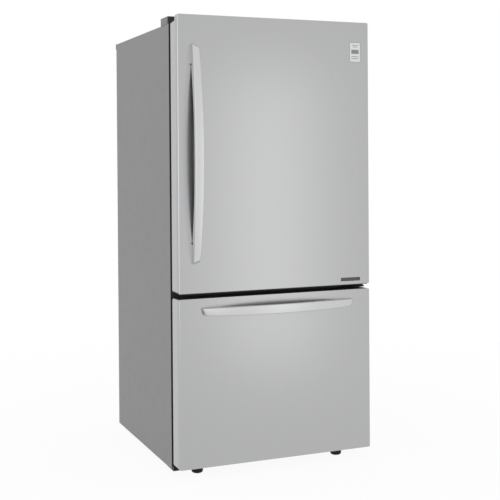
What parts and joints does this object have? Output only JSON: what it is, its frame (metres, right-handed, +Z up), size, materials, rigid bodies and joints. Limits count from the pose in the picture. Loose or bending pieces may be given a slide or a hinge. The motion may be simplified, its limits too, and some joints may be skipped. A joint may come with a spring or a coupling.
{
  "type": "bottom freezer refrigerator",
  "caption": "Tall upright cabinet with a hinged upper door over a pull-out lower drawer, and shelves, bins and baskets inside.",
  "frame": {"origin": "on the floor, under the middle of the whole box", "axes": "+Z up, the doors face -Y, +X to the right of someone who faces the doors"},
  "size_m": [0.832, 0.908, 1.789],
  "materials": {
    "painted_grey": "satin painted steel",
    "stainless": "brushed stainless, vertical grain",
    "handle_steel": "satin bright steel",
    "galvanised": "galvanised sheet",
    "zinc_plated": "zinc plated steel",
    "black_steel": "black painted steel",
    "compressor_black": "gloss black enamel",
    "foam": "rigid foam",
    "white_liner": "moulded white plastic",
    "white_plastic": "white plastic",
    "grey_plastic": "grey plastic",
    "dark_plastic": "dark grey plastic",
    "black_plastic": "black plastic",
    "gasket_rubber": "soft gasket rubber",
    "clear_plastic": "clear plastic",
    "shelf_glass": "tempered glass",
    "lens_plastic": "frosted plastic",
    "fin_aluminium": "mill aluminium",
    "gear_plastic": "natural acetal"
  },
  "bodies": {
    "cabinet": {"outer_wrap": "painted_grey", "back_panel": "galvanised", "back_spacers": "dark_plastic", "cabinet_insulation": "foam", "fridge_liner": "white_liner", "freezer_liner": "white_liner", "centre_rail": "painted_grey", "base_frame": "black_steel", "machine_cover": "galvanised", "compressor": "compressor_black", "condenser": "black_steel", "fan_shroud": "grey_plastic", "drain_pan": "grey_plastic", "evaporator": "fin_aluminium", "evaporator_cover": "white_plastic", "air_duct": "white_plastic", "control_panel": "white_plastic", "lamp_lens": "lens_plastic", "shelf_tracks": "galvanised", "shelf_glass": "shelf_glass", "shelf_frames": "white_plastic", "crisper_shelf": "white_plastic", "top_hinge": "zinc_plated", "hinge_covers": "grey_plastic", "middle_hinge": "zinc_plated", "outer_rails": "zinc_plated"},
    "fridge_door": {"fridge_door_skin": "stainless", "fridge_door_insulation": "foam", "fridge_door_liner": "white_liner", "fridge_door_gasket": "gasket_rubber", "fridge_door_caps": "dark_plastic", "fridge_handle": "handle_steel", "dairy_box": "clear_plastic"},
    "freezer_drawer": {"freezer_door_skin": "stainless", "freezer_door_insulation": "foam", "freezer_door_liner": "white_liner", "freezer_door_gasket": "gasket_rubber", "freezer_door_caps": "dark_plastic", "freezer_handle": "handle_steel", "drawer_frame": "zinc_plated", "freezer_basket": "white_plastic"},
    "condenser_fan": {"condenser_fan": "black_plastic"},
    "evaporator_fan": {"evaporator_fan": "white_plastic"},
    "rear_roller_left": {"rear_roller_left": "black_plastic"},
    "rear_roller_right": {"rear_roller_right": "black_plastic"},
    "levelling_foot_left": {"levelling_foot_left": "black_plastic"},
    "levelling_foot_right": {"levelling_foot_right": "black_plastic"},
    "fridge_button": {"fridge_button": "grey_plastic"},
    "freezer_button": {"freezer_button": "grey_plastic"},
    "crisper_left": {"crisper_left": "clear_plastic"},
    "crisper_right": {"crisper_right": "clear_plastic"},
    "humidity_slider_left": {"humidity_slider_left": "grey_plastic"},
    "humidity_slider_right": {"humidity_slider_right": "grey_plastic"},
    "dairy_cover": {"dairy_cover": "clear_plastic"},
    "door_bin_upper": {"door_bin_upper": "clear_plastic"},
    "door_bin_middle": {"door_bin_middle": "clear_plastic"},
    "door_bin_lower": {"door_bin_lower": "clear_plastic"},
    "freezer_tray": {"freezer_tray": "clear_plastic"},
    "middle_rails": {"middle_rails": "zinc_plated"},
    "synchroniser": {"synchroniser": "gear_plastic"}
  },
  "joints": [
    {"name": "fridge_door_hinge", "type": "hinge", "parent": "cabinet", "child": "fridge_door", "pos_m": [0.392, -0.365, 1.25], "axis": [0, 0, 1], "range_deg": [0, 115]},
    {"name": "freezer_drawer_slide", "type": "slide", "parent": "cabinet", "child": "freezer_drawer", "axis": [0, -1, 0], "range_m": [0, 0.42]},
    {"name": "middle_rail_slide", "type": "slide", "parent": "cabinet", "child": "middle_rails", "axis": [0, -1, 0], "range_m": [0, 0.21]},
    {"name": "synchroniser_roll", "type": "hinge", "parent": "freezer_drawer", "child": "synchroniser", "pos_m": [0, 0.138, 0.262], "axis": [1, 0, 0], "range_deg": [0, 1340]},
    {"name": "freezer_tray_slide", "type": "slide", "parent": "freezer_drawer", "child": "freezer_tray", "axis": [0, 1, 0], "range_m": [0, 0.13]},
    {"name": "crisper_left_slide", "type": "slide", "parent": "cabinet", "child": "crisper_left", "axis": [0, -1, 0], "range_m": [0, 0.016]},
    {"name": "crisper_right_slide", "type": "slide", "parent": "cabinet", "child": "crisper_right", "axis": [0, -1, 0], "range_m": [0, 0.016]},
    {"name": "humidity_left_slide", "type": "slide", "parent": "cabinet", "child": "humidity_slider_left", "axis": [1, 0, 0], "range_m": [0, 0.04]},
    {"name": "humidity_right_slide", "type": "slide", "parent": "cabinet", "child": "humidity_slider_right", "axis": [1, 0, 0], "range_m": [0, 0.04]},
    {"name": "dairy_cover_hinge", "type": "hinge", "parent": "fridge_door", "child": "dairy_cover", "pos_m": [0, -0.217, 1.6415], "axis": [1, 0, 0], "range_deg": [0, 85]},
    {"name": "door_bin_upper_lift", "type": "slide", "parent": "fridge_door", "child": "door_bin_upper", "axis": [0, 0, 1], "range_m": [0, 0.028]},
    {"name": "door_bin_middle_lift", "type": "slide", "parent": "fridge_door", "child": "door_bin_middle", "axis": [0, 0, 1], "range_m": [0, 0.028]},
    {"name": "door_bin_lower_lift", "type": "slide", "parent": "fridge_door", "child": "door_bin_lower", "axis": [0, 0, 1], "range_m": [0, 0.028]},
    {"name": "rear_roller_left_spin", "type": "hinge", "parent": "cabinet", "child": "rear_roller_left", "pos_m": [-0.364, 0.386, 0.02], "axis": [1, 0, 0], "continuous": true},
    {"name": "rear_roller_right_spin", "type": "hinge", "parent": "cabinet", "child": "rear_roller_right", "pos_m": [0.364, 0.386, 0.02], "axis": [1, 0, 0], "continuous": true},
    {"name": "levelling_foot_left_turn", "type": "hinge", "parent": "cabinet", "child": "levelling_foot_left", "pos_m": [-0.307, -0.297, 0.02], "axis": [0, 0, 1], "continuous": true},
    {"name": "levelling_foot_right_turn", "type": "hinge", "parent": "cabinet", "child": "levelling_foot_right", "pos_m": [0.307, -0.297, 0.02], "axis": [0, 0, 1], "continuous": true},
    {"name": "condenser_fan_spin", "type": "hinge", "parent": "cabinet", "child": "condenser_fan", "pos_m": [-0.066, 0.3285, 0.152], "axis": [1, 0, 0], "continuous": true},
    {"name": "evaporator_fan_spin", "type": "hinge", "parent": "cabinet", "child": "evaporator_fan", "pos_m": [0, 0.331, 0.59275], "axis": [0, 1, 0], "continuous": true},
    {"name": "fridge_button_push", "type": "slide", "parent": "cabinet", "child": "fridge_button", "axis": [0, 0, 1], "range_m": [0, 0.0012], "stiffness_N_per_m": 150},
    {"name": "freezer_button_push", "type": "slide", "parent": "cabinet", "child": "freezer_button", "axis": [0, 0, 1], "range_m": [0, 0.0012], "stiffness_N_per_m": 150}
  ],
  "couplings": [
    {"joint": "middle_rail_slide", "follows": "freezer_drawer_slide", "ratio": 0.5},
    {"joint": "synchroniser_roll", "follows": "freezer_drawer_slide", "rad_per_m": 55.556}
  ]
}
